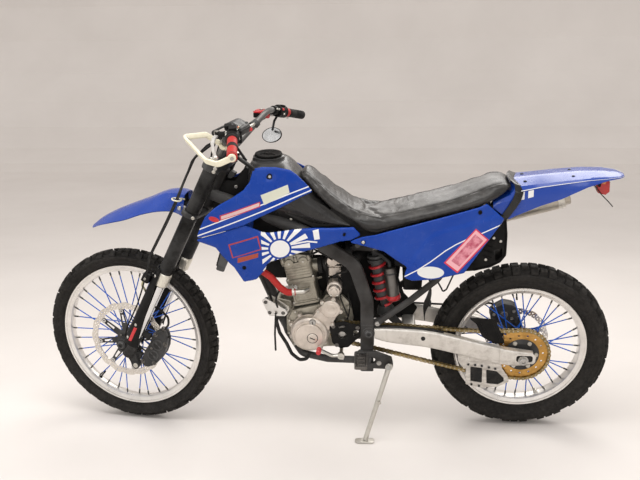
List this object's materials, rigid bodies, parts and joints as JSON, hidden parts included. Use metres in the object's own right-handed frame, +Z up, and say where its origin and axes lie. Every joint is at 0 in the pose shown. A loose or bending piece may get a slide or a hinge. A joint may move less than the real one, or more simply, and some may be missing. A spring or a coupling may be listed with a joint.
{
  "type": "off-road motorcycle",
  "caption": "Off-road motorcycle with spoked wheels, knobbly tyres, high mudguards and plastic bodywork, leaning on its side stand; wheels, steering and stand move.",
  "frame": {"origin": "on the floor under the middle of the bounding box of the bike as it is parked", "axes": "+X forward along the wheelbase, +Y to the rider's left, +Z up from the floor; the bike leans 10.6 degrees to its left on the side stand and its steering is turned 11.5 degrees to the right"},
  "size_m": [2.1093, 0.8026, 1.1996],
  "materials": {
    "frame_paint": "satin",
    "subframe_paint": "satin",
    "arm_alloy": "satin, scuffed",
    "cast_alloy": "cast, slightly dirty",
    "black_alloy": "anodised black",
    "rim_alloy": "polished, scuffed",
    "blue_spokes": "gloss",
    "steel": "zinc plated",
    "chrome": "polished",
    "gold_sprocket": "worn anodised",
    "chain_steel": "oiled",
    "tyre": "knobbly, dusty",
    "rubber": "matt",
    "red_rubber": "matt",
    "blue_plastic": "gloss, scratched",
    "white_plastic": "gloss",
    "black_plastic": "matt",
    "tank_plastic": "gloss",
    "seat_cover": "grained vinyl",
    "red_lens": "clear gloss",
    "muffler_alloy": "brushed, stained",
    "exhaust_steel": "heat stained",
    "cream_alloy": "satin",
    "red_metal": "gloss"
  },
  "bodies": {
    "chassis": {"main_frame": "frame_paint", "subframe": "subframe_paint", "swingarm": "arm_alloy", "rear_axle": "steel", "crankcase": "cast_alloy", "cylinder": "cast_alloy", "cylinder_head": "cast_alloy", "engine_covers": "cast_alloy", "starter_motor": "cast_alloy", "carburettor": "cast_alloy", "airbox": "black_plastic", "exhaust_header": "exhaust_steel", "muffler": "muffler_alloy", "radiators": "black_alloy", "radiator_hose": "red_rubber", "fuel_tank": "tank_plastic", "fuel_cap": "black_plastic", "seat": "seat_cover", "rear_fender": "blue_plastic", "tail_light": "red_lens", "left_shroud": "blue_plastic", "right_shroud": "blue_plastic", "left_side_cover": "blue_plastic", "right_side_cover": "blue_plastic", "rear_shock": "red_metal", "drive_chain": "chain_steel", "chain_guards": "arm_alloy", "footpegs": "steel", "foot_controls": "steel", "rear_brake_caliper": "black_alloy"},
    "rear_wheel": {"rear_tyre": "tyre", "rear_rim": "rim_alloy", "rear_hub": "blue_spokes", "rear_sprocket": "gold_sprocket", "rear_brake_disc": "steel"},
    "stand": {"side_stand": "arm_alloy"},
    "steering": {"fork_clamps": "black_alloy", "fork_outer_tubes": "black_alloy", "fork_legs": "chrome", "fork_guards": "black_plastic", "front_axle": "steel", "front_fender": "blue_plastic", "front_brake_caliper": "black_alloy", "front_brake_hose": "rubber", "handlebar": "arm_alloy", "grips": "red_rubber", "left_hand_guard": "cream_alloy", "hand_controls": "black_alloy", "mirrors": "black_plastic", "dash": "black_plastic"},
    "front_wheel": {"front_tyre": "tyre", "front_rim": "rim_alloy", "front_hub": "blue_spokes", "front_brake_disc": "steel"}
  },
  "joints": [
    {"name": "steering_turn", "type": "hinge", "parent": "chassis", "child": "steering", "pos_m": [0.37127, -0.06008, 0.92422], "axis": [-0.4474, 0.1646, 0.879], "range_deg": [-30.5, 53.5]},
    {"name": "front_wheel_spin", "type": "hinge", "parent": "steering", "child": "front_wheel", "pos_m": [0.71945, -0.17887, 0.33874], "axis": [0.1786, 0.9796, -0.0926], "continuous": true},
    {"name": "rear_wheel_spin", "type": "hinge", "parent": "chassis", "child": "rear_wheel", "pos_m": [-0.72972, -0.17274, 0.32068], "axis": [0.0003, 0.9829, -0.184], "continuous": true},
    {"name": "side_stand_fold", "type": "hinge", "parent": "chassis", "child": "stand", "pos_m": [-0.25065, -0.03346, 0.2719], "axis": [0.1442, 0.9728, 0.1815], "range_deg": [0, 113]}
  ]
}
